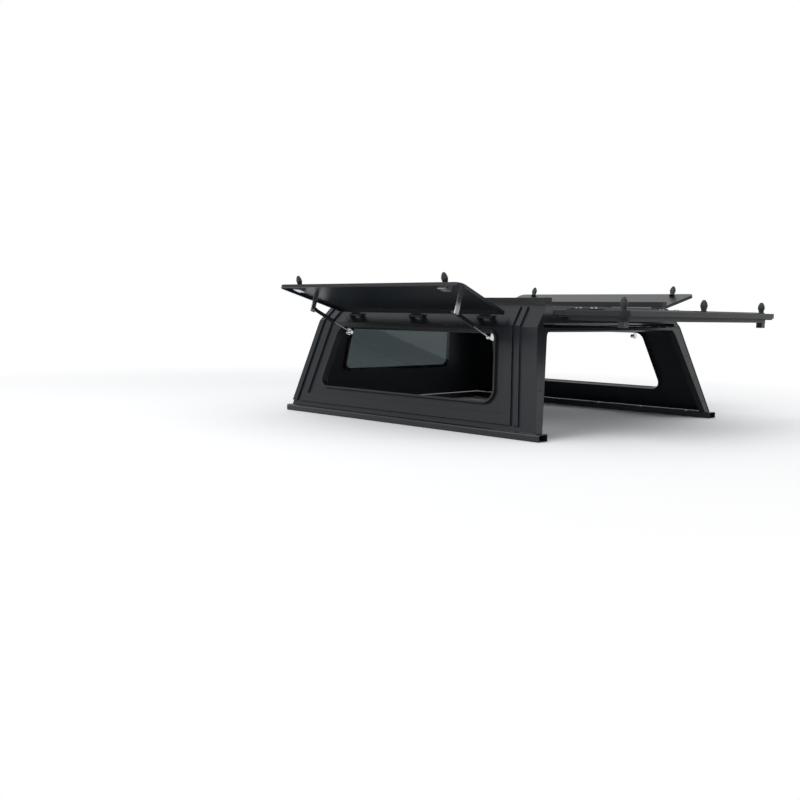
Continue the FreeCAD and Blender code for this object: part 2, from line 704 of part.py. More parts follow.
# Latches under the doors, and the strut brackets beside them.
def side_fittings():
    up = -size("door_reach") + size("handle_inset")
    inset = size("handle_from_end")
    pieces = []
    for k, across in enumerate((front_low + inset, rear_low - inset)):
        pieces.append(box("left_latch_%d" % k, "46", "40", "20", left_door_place,
                          (across - 23, up - 12, size("door_lift") + size("door_depth") - size("door_skin") - 20)))
    for k, spot in enumerate(strut_spots):
        lug = box("left_lug_%d" % k, "5", "26", "strut_hang + door_lift + door_depth - door_skin + 12",
                  left_door_place, (spot - 2.5, -size("strut_grip") - 13, -size("strut_hang") - 12))
        inwards = 1 - 2 * k
        reach = size("stud_offset") - size("eye_thick") / 2 - size("fit")
        pin_start = left_door_place.multVec(Vector(spot, -size("strut_grip"), -size("strut_hang")))
        pin = rod_between("left_lug_pin_%d" % k, pin_start, pin_start - Vector(0, inwards * reach, 0),
                          "strut_eye - 2")
        pieces.append(fused("left_lug_whole_%d" % k, [lug, pin]))
    keep_pair("door_fittings", together("left_fittings", pieces))
    studs = []
    for k, spot in enumerate(strut_spots):
        inwards = 1 - 2 * k
        reach = size("stud_offset") - size("eye_thick") / 2 - size("fit")
        root = Vector(left_hinge.x - size("stud_out"), -spot, left_hinge.z - size("stud_down"))
        pin = rod_between("left_stud_pin_%d" % k, root, root - Vector(0, inwards * reach, 0), "strut_eye - 2")
        local = left_side_place.inverse().multVec(root)
        top = side_slant - size("opening_top_margin")
        plate = box("left_stud_plate_%d" % k, "4", str(top - local.y + 11.5), "24", left_side_place,
                    (spot - 2, local.y - 12, local.z - 12))
        studs.append(fused("left_stud_whole_%d" % k, [pin, plate]))
    keep_pair("strut_studs", together("left_studs", studs))


def strut_ends(grip, hang):
    """Lid end and frame end of a side strut, seen along the canopy."""
    lid = left_door_place.multVec(Vector(0, -grip, -hang))
    stud = left_hinge + Vector(-size("stud_out"), 0, -size("stud_down"))
    return Vector(lid.x, 0, lid.z), Vector(stud.x, 0, stud.z)


def strut_stroke():
    """How far a side strut's rod goes in as its door closes."""
    lid, stud = strut_ends(size("strut_grip"), size("strut_hang"))
    hinge = Vector(left_hinge.x, 0, left_hinge.z)
    closed = hinge + Rotation(Vector(0, -1, 0), size("door_open_angle")).multVec(lid - hinge)
    return (stud - lid).Length - (stud - closed).Length


# Gas struts: a black tube held by the door, and a bright rod that reaches the stud on the frame.
def strut(name, lid, stud):
    way = (stud - lid).normalize()
    half = Vector(0, size("eye_thick") / 2, 0)
    tube_start = lid + way * (size("strut_eye") - 1)
    tube_end = lid + way * size("strut_tube_length")
    tube = rod_between(name + "_outer", tube_start, tube_end, "strut_tube")
    tube_eye = rod_between(name + "_tube_eye", lid - half, lid + half, "strut_eye")
    bore_start = tube_start + way * size("strut_eye")
    bore = rod_between(name + "_bore", bore_start, tube_end + way, "strut_rod + fit")
    hollow = doc.addObject("Part::Cut", name + "_tube")
    hollow.Base = fused(name + "_closed_tube", [tube, tube_eye])
    hollow.Tool = bore
    rod_start = bore_start + way * (strut_stroke() + size("strut_spare"))
    rod = rod_between(name + "_bar", rod_start, stud, "strut_rod")
    rod_eye = rod_between(name + "_rod_eye", stud - half, stud + half, "strut_eye")
    return hollow, fused(name + "_rod", [rod, rod_eye])


def struts():
    lid, stud = strut_ends(size("strut_grip"), size("strut_hang"))
    for name, spot, step in (("front_strut", strut_spots[0], 1), ("rear_strut", strut_spots[1], -1)):
        shift = Vector(0, -spot - step * size("stud_offset"), 0)
        tube, rod = strut("left_" + name, lid + shift, stud + shift)
        keep_pair(name + "_tube", tube)
        keep_pair(name + "_rod", rod)


base_rails()
side_frames()
roof()
front_wall()
rear_frame()
door_seals()
roof_rails()
side_doors()
rear_door()
handles()
side_fittings()
struts()
doc.recompute()

faults = [thing.Label for thing in doc.Objects if "Invalid" in thing.State or "Error" in thing.State]
for name, thing in nodes.items():
    if thing.Shape.isNull() or not thing.Shape.isValid() or not thing.Shape.Solids:
        faults.append(name)
if faults:
    raise SystemExit("These failed: " + ", ".join(faults))

os.makedirs("parts", exist_ok=True)
for name, thing in nodes.items():
    thing.Shape.exportStep("parts/%s.step" % name)
print(len(nodes), "nodes written")
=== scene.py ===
# %% [markdown]
# # A steel pickup canopy with its doors open
# The construction model already has every plate, hinge and strut at its real size and place, so this
# scene dresses it: finishes, folded edges, small hardware, a floor, lights and the camera. We load the
# frame first, because each piece that we add takes its place from it.

# %% Load the frame
import math

import bmesh
import bpy
from mathutils import Matrix, Vector


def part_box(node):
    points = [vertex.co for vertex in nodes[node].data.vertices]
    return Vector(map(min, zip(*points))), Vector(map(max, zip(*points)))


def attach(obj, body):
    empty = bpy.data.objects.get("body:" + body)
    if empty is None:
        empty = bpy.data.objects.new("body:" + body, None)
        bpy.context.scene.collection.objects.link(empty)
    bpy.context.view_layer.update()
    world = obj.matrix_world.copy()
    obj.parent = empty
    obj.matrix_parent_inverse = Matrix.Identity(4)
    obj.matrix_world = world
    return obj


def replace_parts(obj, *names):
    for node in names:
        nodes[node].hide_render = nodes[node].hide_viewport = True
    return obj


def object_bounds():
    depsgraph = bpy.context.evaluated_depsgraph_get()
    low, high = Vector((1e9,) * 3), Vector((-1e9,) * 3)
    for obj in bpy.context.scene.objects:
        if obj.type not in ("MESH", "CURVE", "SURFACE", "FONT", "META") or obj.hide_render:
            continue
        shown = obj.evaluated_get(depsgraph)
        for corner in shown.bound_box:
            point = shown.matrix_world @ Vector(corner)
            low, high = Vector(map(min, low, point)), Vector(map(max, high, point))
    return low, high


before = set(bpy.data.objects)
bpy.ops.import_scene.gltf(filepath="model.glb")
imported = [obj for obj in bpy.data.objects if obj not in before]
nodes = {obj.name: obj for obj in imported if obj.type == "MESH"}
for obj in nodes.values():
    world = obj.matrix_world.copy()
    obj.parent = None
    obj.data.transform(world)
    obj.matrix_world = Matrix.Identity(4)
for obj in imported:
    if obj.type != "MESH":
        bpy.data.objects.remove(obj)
cad_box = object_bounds()
print(len(nodes), "nodes in the frame")

# %% [markdown]
# ## Finishes
# Black powder coat is satin, a little blue in the light, and keeps a fine orange-peel texture from the
# oven. Noise in object coordinates drives a small bump and a small change of roughness, so no panel is
# one flat value. We could paint maps for this, but a procedural node tree needs no files and fits every
# panel.

# %% A helper for node materials
GRAIN_STRENGTH, GRAIN_DETAIL = 0.35, 4.0


def new_material(name, **sockets):
    """A material whose shader has the given socket values."""
    material = bpy.data.materials.new(name)
    material.use_nodes = True
    shader = material.node_tree.nodes["Principled BSDF"]
    for socket, value in sockets.items():
        shader.inputs[socket.replace("_", " ")].default_value = value
    return material


def add_grain(material, scale, depth, low, high):
    """Noise in object coordinates that moves the surface a little and changes its roughness."""
    tree = material.node_tree
    shader = tree.nodes["Principled BSDF"]
    place = tree.nodes.new("ShaderNodeTexCoord")
    noise = tree.nodes.new("ShaderNodeTexNoise")
    noise.inputs["Scale"].default_value = scale
    noise.inputs["Detail"].default_value = GRAIN_DETAIL
    tree.links.new(place.outputs["Object"], noise.inputs["Vector"])
    bump = tree.nodes.new("ShaderNodeBump")
    bump.inputs["Strength"].default_value = GRAIN_STRENGTH
    bump.inputs["Distance"].default_value = depth
    tree.links.new(noise.outputs["Fac"], bump.inputs["Height"])
    tree.links.new(bump.outputs["Normal"], shader.inputs["Normal"])
    spread = tree.nodes.new("ShaderNodeMapRange")
    spread.inputs["To Min"].default_value = low
    spread.inputs["To Max"].default_value = high
    tree.links.new(noise.outputs["Fac"], spread.inputs["Value"])
    tree.links.new(spread.outputs["Result"], shader.inputs["Roughness"])


# %% The canopy's finishes
steel = new_material("black_powder_coat", Base_Color=(0.009, 0.0118, 0.0148, 1), Specular_IOR_Level=0.24)
add_grain(steel, 900.0, 0.00006, 0.27, 0.42)
rubber = new_material("seal_rubber", Base_Color=(0.010, 0.010, 0.011, 1), Specular_IOR_Level=0.35)
add_grain(rubber, 300.0, 0.0001, 0.5, 0.7)
anodised = new_material("black_anodised_rail", Base_Color=(0.011, 0.013, 0.015, 1), Specular_IOR_Level=0.4)
add_grain(anodised, 600.0, 0.00004, 0.32, 0.42)
cast = new_material("black_die_cast", Base_Color=(0.013, 0.014, 0.016, 1), Specular_IOR_Level=0.4)
add_grain(cast, 500.0, 0.00008, 0.34, 0.5)
gloss = new_material("gloss_black_tube", Base_Color=(0.012, 0.012, 0.013, 1), Roughness=0.16)
bright = new_material("bright_ground_rod", Base_Color=(0.78, 0.79, 0.8, 1), Metallic=1.0, Roughness=0.14)
zinc = new_material("zinc_plated_latch", Base_Color=(0.62, 0.64, 0.66, 1), Metallic=1.0)
add_grain(zinc, 220.0, 0.00005, 0.2, 0.38)
window_glass = new_material("grey_window_glass", Base_Color=(0.075, 0.095, 0.10, 1), Roughness=0.04,
                            IOR=1.4, Transmission_Weight=0.9)
privacy_glass = new_material("dark_privacy_glass", Base_Color=(0.012, 0.015, 0.016, 1), Roughness=0.04,
                             Transmission_Weight=0.15)
FINISHES = {"front_window": window_glass, "rear_door_glass": privacy_glass}
WORDS = (("seal", rubber), ("strut_rod", bright), ("studs", bright), ("handle", cast),
         ("strut_tube", gloss), ("fittings", zinc), ("rail", anodised))
for name, piece in nodes.items():
    finish = FINISHES.get(name) or next((kind for word, kind in WORDS if word in name), steel)
    piece.data.materials.clear()
    piece.data.materials.append(finish)
print(len(bpy.data.materials), "finishes on", len(nodes), "nodes")

# %% [markdown]
# ## Softer folds
# A folded sheet never ends in a knife edge: each fold has a small radius, and it is this radius that
# draws the bright lines along the real ribs. Where a panel shows such lines, a copy of its mesh is
# merged, its flat faces are joined, and its sharp edges are bevelled. The copy then stands for the panel.

# %% A bevelled copy of a panel
FOLD_ANGLE = math.radians(20)
FLAT_ANGLE = math.radians(0.5)
MERGE_DISTANCE = 0.00001
THIN_FOLD, POST_FOLD, SHEET_FOLD, BLOCK_FOLD = 0.0005, 0.0006, 0.0008, 0.001
SIDE_FOLD, RAIL_FOLD, PANEL_FOLD, DOOR_FOLD = 0.0009, 0.0012, 0.0007, 0.002


def bevel_sharp(work, width):
    """Bevel the edges of a mesh that turn more than the fold angle."""
    edges = [edge for edge in work.edges if edge.is_manifold and edge.calc_face_angle() > FOLD_ANGLE]
    bmesh.ops.bevel(work, geom=edges, offset=width, segments=2, affect="EDGES", profile=0.5,
                    clamp_overlap=True)


def place_piece(name, work, finish, body):
    """Make an object from a mesh under construction, and let it move with a body."""
    mesh = bpy.data.meshes.new(name)
    work.to_mesh(mesh)
    work.free()
    mesh.materials.append(finish)
    piece = bpy.data.objects.new(name, mesh)
    bpy.context.collection.objects.link(piece)
    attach(piece, body)
    return piece


def soften(node, body, width):
    """Show a bevelled copy in place of a node."""
    work = bmesh.new()
    work.from_mesh(nodes[node].data)
    bmesh.ops.remove_doubles(work, verts=work.verts, dist=MERGE_DISTANCE)
    bmesh.ops.dissolve_limit(work, angle_limit=FLAT_ANGLE, verts=work.verts, edges=work.edges)
    bevel_sharp(work, width)
    piece = place_piece(node + "_folded", work, nodes[node].data.materials[0], body)
    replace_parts(piece, node)


for side in ("left", "right"):
    soften(side + "_side_frame", "canopy", SIDE_FOLD)
    soften(side + "_base_rail", "canopy", RAIL_FOLD)
    soften(side + "_door_panel", side + "_door", PANEL_FOLD)
soften("roof_panel", "canopy", SHEET_FOLD)
soften("rear_door_frame", "rear_door", DOOR_FOLD)
print("bevelled panels stand for their nodes")

# %% [markdown]
# ## Where things are
# The side leans in, the shoulder leans in more, and both ends of the body lean. Three small functions
# give a point on each plane from a height or a distance along it, so that what we add lies on the steel.

# %% Points on the body's planes, in metres
SHOULDER_HALF, ROOF_HALF = 0.612, 0.519
RAIL_TOP, SHOULDER_TOP, ROOF_TOP = 0.030, 0.466, 0.560
FRONT_LEAN, REAR_LEAN, REAR_FOOT = 0.135, 0.257, 1.585
shoulder_up = Vector((SHOULDER_HALF - ROOF_HALF, 0, ROOF_TOP - SHOULDER_TOP)).normalized()
shoulder_out = Vector((-shoulder_up.z, 0, shoulder_up.x))
rear_up = Vector((0, REAR_LEAN, 1)).normalized()
rear_out = Vector((0, -rear_up.z, rear_up.y))


def shoulder_point(y, along, out):
    """A point by the left shoulder: along its slope, and out from it."""
    return Vector((-SHOULDER_HALF, y, SHOULDER_TOP)) + shoulder_up * along + shoulder_out * out


def rear_point(x, up, out):
    """A point by the rear wall: up its slope from the base, and out from it."""
    return Vector((x, -REAR_FOOT, RAIL_TOP)) + rear_up * up + rear_out * out


def mirrored(points):
    """The same points on the other side of the canopy."""
    return [Vector((-point.x, point.y, point.z)) for point in points]


# %% [markdown]
# ## Lofted pieces
# Many small steel pieces are one outline carried to another: a rib, a plate, a post. One helper joins
# outlines of equal length into a closed solid, turns its faces outwards and bevels it.

# %% A helper that lofts outlines


def loft(name, loops, finish, body, soft=SHEET_FOLD):
    """A closed solid through outlines that have the same number of points."""
    work = bmesh.new()
    rings = [[work.verts.new(point) for point in loop] for loop in loops]
    count = len(loops[0])
    for first, second in zip(rings, rings[1:]):
        for k in range(count):
            work.faces.new((first[k], first[(k + 1) % count], second[(k + 1) % count], second[k]))
    work.faces.new(rings[0][::-1])
    work.faces.new(rings[-1])
    bmesh.ops.recalc_face_normals(work, faces=work.faces)
    bevel_sharp(work, soft)
    return place_piece(name, work, finish, body)


# %% [markdown]
# ## Ribs over the shoulders
# The pressed ribs of the sides run on over the shoulders, where they catch the light near both ends.
# Each is a low bar between two leaning lines, so its four corners come straight from the slopes.

# %% Shoulder ribs
RIB_RISE, RIB_SUNK, RIB_MITRE = 0.009, 0.001, 0.00215
RIB_END = 0.124
RIBS = (("front", 0.0, 0.034), ("front", 0.056, 0.044), ("rear", 0.088, 0.026), ("rear", 0.128, 0.044))


def rib_edge(which, along, offset):
    """How far forward a rib's edge lies, at a distance along the shoulder's slope."""
    height = SHOULDER_TOP - RAIL_TOP + along * shoulder_up.z
    if which == "front":
        return -FRONT_LEAN * height - offset
    return -REAR_FOOT + REAR_LEAN * height + offset


for index, (which, start, width) in enumerate(RIBS):
    def corner(along, offset, out):
        return shoulder_point(rib_edge(which, along, offset), along, out)
    end = start + width
    foot = [corner(0, start, -RIB_SUNK), corner(0, end, -RIB_SUNK),
            corner(-RIB_MITRE, end, RIB_RISE), corner(-RIB_MITRE, start, RIB_RISE)]
    head = [corner(RIB_END, start, -RIB_SUNK), corner(RIB_END, end, -RIB_SUNK),
            corner(RIB_END - RIB_RISE, end, RIB_RISE), corner(RIB_END - RIB_RISE, start, RIB_RISE)]
    loft("left_shoulder_rib_%d" % index, [foot, head], steel, "canopy")
    loft("right_shoulder_rib_%d" % index, [mirrored(foot), mirrored(head)], steel, "canopy")
print(2 * len(RIBS), "shoulder ribs")

# %% [markdown]
# ## The frame round the rear opening
# The rear opening is wide at the base, narrow at the top and round in its upper corners, and its edge
# turns forwards as a stiff lip. A helper rounds the corners that we name, by a short curve from the
# point before each corner to the point after it. The outline is then carried back by the sheet's
# thickness, and its edge by the depth of the lip. This frame stands for the two straight pillars.

# %% A helper that rounds corners
ROUND_STEPS = 8


def rounded(corners, radius, chosen):
    """An outline whose chosen corners are short curves."""
    points = []
    for k, corner in enumerate(corners):
        if k not in chosen:
            points.append(corner)
            continue
        before = (corners[k - 1] - corner).normalized()
        after = (corners[(k + 1) % len(corners)] - corner).normalized()
        reach = radius / math.tan(before.angle(after) / 2)
        start, end = corner + before * reach, corner + after * reach
        for step in range(ROUND_STEPS + 1):
            share = step / ROUND_STEPS
            points.append(start * (1 - share) ** 2 + corner * 2 * share * (1 - share) + end * share ** 2)
    return points


# %% Rear frame
GAP_FOOT, GAP_HEAD, GAP_TOP, GAP_ROUND = 0.704, 0.541, 0.436, 0.045
WALL_FOOT, WALL_HEAD, WALL_TOP, WALL_LOW = 0.7478, 0.6075, 0.4488, 0.0004
SHEET, LIP_DEPTH = 0.0025, 0.030


def rear_gap(grow):
    """The opening's edge from its left foot over both corners to its right foot, in the rear plane."""
    corners = [Vector((-GAP_FOOT - grow, WALL_LOW)), Vector((-GAP_HEAD - grow, GAP_TOP + grow)),
               Vector((GAP_HEAD + grow, GAP_TOP + grow)), Vector((GAP_FOOT + grow, WALL_LOW))]
    return rounded(corners, GAP_ROUND + grow, (1, 2))


wall = rear_gap(0.0) + [Vector((WALL_FOOT, WALL_LOW)), Vector((WALL_HEAD, WALL_TOP)),
                        Vector((-WALL_HEAD, WALL_TOP)), Vector((-WALL_FOOT, WALL_LOW))]
wall_loops = [[rear_point(p.x, p.y, out) for p in wall] for out in (-SHEET, -2 * SHEET)]
rear_wall = loft("rear_opening_frame", wall_loops, steel, "canopy")
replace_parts(rear_wall, "rear_left_pillar", "rear_right_pillar")
lip = rear_gap(0.0) + rear_gap(SHEET)[::-1]
lip_loops = [[rear_point(p.x, p.y, out) for p in lip] for out in (-SHEET, -SHEET - LIP_DEPTH)]
loft("rear_opening_lip", lip_loops, steel, "canopy", THIN_FOLD)
print("rear opening frame and its lip")

# %% [markdown]
# ## Roof rails
# The rails are aluminium channels with a slot along the top for clamps, on short feet. The profile is
# drawn once as an outline and carried from the front foot to the rear one.

# %% Slotted rails
RAIL_INNER, RAIL_OUTER, RAIL_LOW, RAIL_HIGH = -0.473, -0.515, 0.568, 0.594
RAIL_WALL, SLOT_HALF = 0.0025, 0.007
RAIL_FRONT, RAIL_REAR = -0.090, -1.440
FEET, FOOT_LENGTH, FOOT_INSET = 5, 0.06, 0.07
CAP_THICKNESS, CAP_MARGIN = 0.004, 0.001
middle = (RAIL_INNER + RAIL_OUTER) / 2
slot_inner, slot_outer = middle + SLOT_HALF, middle - SLOT_HALF
hollow_inner, hollow_outer = RAIL_INNER - RAIL_WALL, RAIL_OUTER + RAIL_WALL
hollow_low, hollow_high = RAIL_LOW + RAIL_WALL, RAIL_HIGH - RAIL_WALL
PROFILE = ((RAIL_OUTER, RAIL_LOW), (RAIL_INNER, RAIL_LOW), (RAIL_INNER, RAIL_HIGH),
           (slot_inner, RAIL_HIGH), (slot_inner, hollow_high), (hollow_inner, hollow_high),
           (hollow_inner, hollow_low), (hollow_outer, hollow_low), (hollow_outer, hollow_high),
           (slot_outer, hollow_high), (slot_outer, RAIL_HIGH), (RAIL_OUTER, RAIL_HIGH))


def block(name, low, high, finish, body, flip=False, soft=BLOCK_FOLD):
    """A block between two corners, on the left or mirrored to the right."""
    bottom = [Vector((low[0], low[1], low[2])), Vector((high[0], low[1], low[2])),
              Vector((high[0], high[1], low[2])), Vector((low[0], high[1], low[2]))]
    top = [Vector((point.x, point.y, high[2])) for point in bottom]
    if flip:
        bottom, top = mirrored(bottom), mirrored(top)
    return loft(name, [bottom, top], finish, body, soft)


for side, flip in (("left", False), ("right", True)):
    ends = [[Vector((x, y, z)) for x, z in PROFILE] for y in (RAIL_FRONT, RAIL_REAR)]
    if flip:
        ends = [mirrored(end) for end in ends]
    channel = loft(side + "_roof_channel", ends, anodised, "canopy", THIN_FOLD)
    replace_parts(channel, side + "_roof_rail")
    for k in range(FEET):
        y = RAIL_FRONT - FOOT_INSET + (RAIL_REAR - RAIL_FRONT + FOOT_INSET) * k / (FEET - 1)
        block("%s_roof_rail_foot_%d" % (side, k), (RAIL_OUTER, y, ROOF_TOP),
              (RAIL_INNER, y + FOOT_LENGTH, RAIL_LOW), anodised, "canopy", flip)
    for end, y in (("front", RAIL_FRONT), ("rear", RAIL_REAR - CAP_THICKNESS)):
        block("%s_%s_rail_cap" % (side, end), (RAIL_OUTER - CAP_MARGIN, y, RAIL_LOW - CAP_MARGIN),
              (RAIL_INNER + CAP_MARGIN, y + CAP_THICKNESS, RAIL_HIGH + CAP_MARGIN), rubber, "canopy", flip)
print("two roof rails on", 2 * FEET, "feet")

# %% [markdown]
# ## Handles
# Each handle is a short post that swells and then narrows to its top, on a round collar. It takes the
# place of the plain handle of the construction model and turns with it.

# %% Tapered handles
POST = ((0.0, 0.0165, 0.0165), (0.004, 0.0165, 0.0165), (0.006, 0.011, 0.010), (0.028, 0.018, 0.011),
        (0.042, 0.014, 0.009), (0.053, 0.006, 0.005))
SIDES = 12


def post(name, spot, outward, body):
    """A tapered post on a round collar, from where it meets the door's skin."""
    across = Vector((0, 1, 0)).cross(outward).normalized()
    loops = []
    for lift, wide, thick in POST:
        loops.append([spot + outward * lift + Vector((0, 1, 0)) * wide * math.cos(2 * math.pi * k / SIDES)
                      + across * thick * math.sin(2 * math.pi * k / SIDES) for k in range(SIDES)])
    return loft(name, loops, cast, body, POST_FOLD)


def handle(node, spot, outward):
    """A post that stands for a handle of the construction model and turns with it."""
    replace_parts(post(node + "_post", spot, outward, node), node)


DOOR_TILT = math.radians(16.8)
FOOT_SHIFT, FOOT_LIFT = 0.0055, 0.003
for side, sign in (("left", 1), ("right", -1)):
    outward = Vector((-sign * math.sin(DOOR_TILT), 0, math.cos(DOOR_TILT)))
    for end in ("front", "rear"):
        node = "%s_%s_handle" % (side, end)
        low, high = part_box(node)
        x = (low.x + high.x) / 2 + sign * FOOT_SHIFT
        handle(node, Vector((x, (low.y + high.y) / 2, low.z + FOOT_LIFT)), outward)
up = Vector((0, 0, 1))
low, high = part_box("rear_door_handle")
handle("rear_door_handle", Vector((0, (low.y + high.y) / 2, low.z)), up)
print("5 tapered handles")

# %% [markdown]
# ## The rear door's inner frame and fittings
# Under the rear door's outer frame lies a smaller one, which enters the opening when the door shuts,
# and a rubber gasket runs between them. On top, two straps carry the glass to the hinges, and a latch
# sits at each free corner. A ring helper joins an outer and an inner outline into one closed frame.

# %% A helper for frames with a hole


def ring(name, outer, inner, low, high, finish, body):
    """A flat frame between two outlines, from one height to another."""
    work = bmesh.new()
    loops = [[work.verts.new((p.x, p.y, height)) for p in outline]
             for outline, height in ((outer, low), (outer, high), (inner, high), (inner, low))]
    count = len(outer)
    for first, second in zip(loops, loops[1:] + loops[:1]):
        for k in range(count):
            work.faces.new((first[k], first[(k + 1) % count], second[(k + 1) % count], second[k]))
    bmesh.ops.recalc_face_normals(work, faces=work.faces)
    bevel_sharp(work, BLOCK_FOLD)
    return place_piece(name, work, finish, body)


# %% Inner frame and gasket
DOOR_HINGE_Y, DOOR_BACK, DOOR_REACH = -1.4731, 0.014, 0.470
DOOR_HALF, DOOR_FLARE = 0.535, 0.150
DOOR_UNDER, DOOR_TOP, GLASS_TOP = 0.518, 0.542, 0.547
FRAME_DEPTH, GASKET_DEPTH = 0.020, 0.006
ALL_CORNERS = (0, 1, 2, 3)


def door_outline(inset, near, far, radius):
    """The rear door's outline, inset, between two distances from its hinges."""
    def half(distance):
        return DOOR_HALF + DOOR_FLARE * (distance - DOOR_BACK) / (DOOR_REACH - DOOR_BACK) - inset
    corners = [Vector((-half(far), DOOR_HINGE_Y - far)), Vector((half(far), DOOR_HINGE_Y - far)),
               Vector((half(near), DOOR_HINGE_Y - near)), Vector((-half(near), DOOR_HINGE_Y - near))]
    return rounded(corners, radius, ALL_CORNERS)


frame_outside = door_outline(0.026, 0.084, 0.444, 0.035)
frame_inside = door_outline(0.060, 0.112, 0.410, 0.020)
ring("rear_door_inner_frame", frame_outside, frame_inside, DOOR_UNDER - FRAME_DEPTH, DOOR_UNDER,
     steel, "rear_door")
gasket_outside = door_outline(0.008, 0.030, 0.462, 0.025)
gasket_inside = door_outline(0.020, 0.042, 0.450, 0.018)
ring("rear_door_gasket", gasket_outside, gasket_inside, DOOR_UNDER - GASKET_DEPTH, DOOR_UNDER,
     rubber, "rear_door")
print("inner frame and gasket")

# %% Straps and corner latches
STRAP_HALF, STRAP_X, STRAP_TOP = 0.030, 0.360, GLASS_TOP + 0.004
STRAP_REAR, SEAT_REAR, STRAP_FRONT = -1.600, -1.532, -1.489
LATCH_X, LATCH_Y, LATCH_WIDE, LATCH_LONG = 0.618, -1.893, 0.018, 0.014
LATCH_LOW, LATCH_HIGH = DOOR_UNDER - 0.045, DOOR_UNDER - FRAME_DEPTH
for index, x in enumerate((-STRAP_X, STRAP_X)):
    block("rear_strap_%d" % index, (x - STRAP_HALF, STRAP_REAR, GLASS_TOP),
          (x + STRAP_HALF, STRAP_FRONT, STRAP_TOP), steel, "rear_door")
    block("rear_strap_seat_%d" % index, (x - STRAP_HALF, SEAT_REAR, DOOR_TOP),
          (x + STRAP_HALF, STRAP_FRONT, GLASS_TOP), steel, "rear_door")
for index, x in enumerate((-LATCH_X, LATCH_X)):
    block("rear_latch_%d" % index, (x - LATCH_WIDE, LATCH_Y - LATCH_LONG, LATCH_LOW),
          (x + LATCH_WIDE, LATCH_Y + LATCH_LONG, LATCH_HIGH), cast, "rear_door")
    post("rear_latch_post_%d" % index, Vector((x, LATCH_Y, DOOR_TOP)), up, "rear_door")
print("2 straps and 2 corner latches")

# %% [markdown]
# ## Bolts and rivets
# The same bolt head repeats along hinges, rails and frames. We only place the points; a small Geometry
# Nodes tree sets a washer and a six-sided head on each, turned to face outwards. Its inputs are the
# head's radius and height, and the turn of each head comes from a fixed seed.

# %% The bolt tree
HEAD_SIDES, WASHER_SIDES = 6, 16
WASHER_WIDER, WASHER_THINNER = 1.55, 0.5
TURN_SEED = 7


def bolt_tree():
    """Geometry Nodes: a washer and a hexagon head on every point."""
    tree = bpy.data.node_groups.new("bolt_heads", "GeometryNodeTree")
    tree.interface.new_socket("Geometry", in_out="INPUT", socket_type="NodeSocketGeometry")
    tree.interface.new_socket("Head Radius", in_out="INPUT", socket_type="NodeSocketFloat")
    tree.interface.new_socket("Head Height", in_out="INPUT", socket_type="NodeSocketFloat")
    tree.interface.new_socket("Finish", in_out="INPUT", socket_type="NodeSocketMaterial")
    tree.interface.new_socket("Geometry", in_out="OUTPUT", socket_type="NodeSocketGeometry")
    add, link = tree.nodes.new, tree.links.new
    given, result = add("NodeGroupInput"), add("NodeGroupOutput")
    head, washer = add("GeometryNodeMeshCylinder"), add("GeometryNodeMeshCylinder")
    head.inputs["Vertices"].default_value = HEAD_SIDES
    washer.inputs["Vertices"].default_value = WASHER_SIDES
    wider, thinner, half = add("ShaderNodeMath"), add("ShaderNodeMath"), add("ShaderNodeMath")
    for node, share in ((wider, WASHER_WIDER), (thinner, WASHER_THINNER), (half, 0.5)):
        node.operation = "MULTIPLY"
        node.inputs[1].default_value = share
    link(given.outputs["Head Radius"], wider.inputs[0])
    link(given.outputs["Head Height"], thinner.inputs[0])
    link(given.outputs["Head Radius"], head.inputs["Radius"])
    link(given.outputs["Head Height"], head.inputs["Depth"])
    link(wider.outputs[0], washer.inputs["Radius"])
    link(thinner.outputs[0], washer.inputs["Depth"])
    lift = add("ShaderNodeCombineXYZ")
    raised = add("GeometryNodeTransform")
    link(given.outputs["Head Height"], half.inputs[0])
    link(half.outputs[0], lift.inputs["Z"])
    link(head.outputs["Mesh"], raised.inputs["Geometry"])
    link(lift.outputs[0], raised.inputs["Translation"])
    both = add("GeometryNodeJoinGeometry")
    link(raised.outputs["Geometry"], both.inputs["Geometry"])
    link(washer.outputs["Mesh"], both.inputs["Geometry"])
    facing = add("GeometryNodeInputNamedAttribute")
    facing.data_type = "FLOAT_VECTOR"
    facing.inputs["Name"].default_value = "outward"
    align = add("FunctionNodeAlignRotationToVector")
    align.axis = "Z"
    link(facing.outputs["Attribute"], align.inputs["Vector"])
    spin = add("FunctionNodeRandomValue")
    spin.inputs["Seed"].default_value = TURN_SEED
    spin.inputs[3].default_value = 1.0
    own_turn = add("FunctionNodeAxisAngleToRotation")
    own_turn.inputs["Axis"].default_value = (0, 0, 1)
    link(spin.outputs[1], own_turn.inputs["Angle"])
    turned = add("FunctionNodeRotateRotation")
    turned.rotation_space = "LOCAL"
    link(align.outputs["Rotation"], turned.inputs["Rotation"])
    link(own_turn.outputs["Rotation"], turned.inputs["Rotate By"])
    on_points = add("GeometryNodeInstanceOnPoints")
    link(given.outputs["Geometry"], on_points.inputs["Points"])
    link(both.outputs["Geometry"], on_points.inputs["Instance"])
    link(turned.outputs["Rotation"], on_points.inputs["Rotation"])
    real, painted = add("GeometryNodeRealizeInstances"), add("GeometryNodeSetMaterial")
    link(on_points.outputs["Instances"], real.inputs["Geometry"])
    link(real.outputs["Geometry"], painted.inputs["Geometry"])
    link(given.outputs["Finish"], painted.inputs["Material"])
    link(painted.outputs["Geometry"], result.inputs["Geometry"])
    return tree


bolts = bolt_tree()
inputs = {item.name: item.identifier for item in bolts.interface.items_tree if item.in_out == "INPUT"}
print(len(bolts.nodes), "nodes in the bolt tree")

# %% [markdown]
# ## Setting the bolts
# Each row of bolts becomes a mesh of bare points with a direction each. The tree runs on it once, and
# its result is kept as a plain mesh, which can move with a door.

# %% Set bolts on points


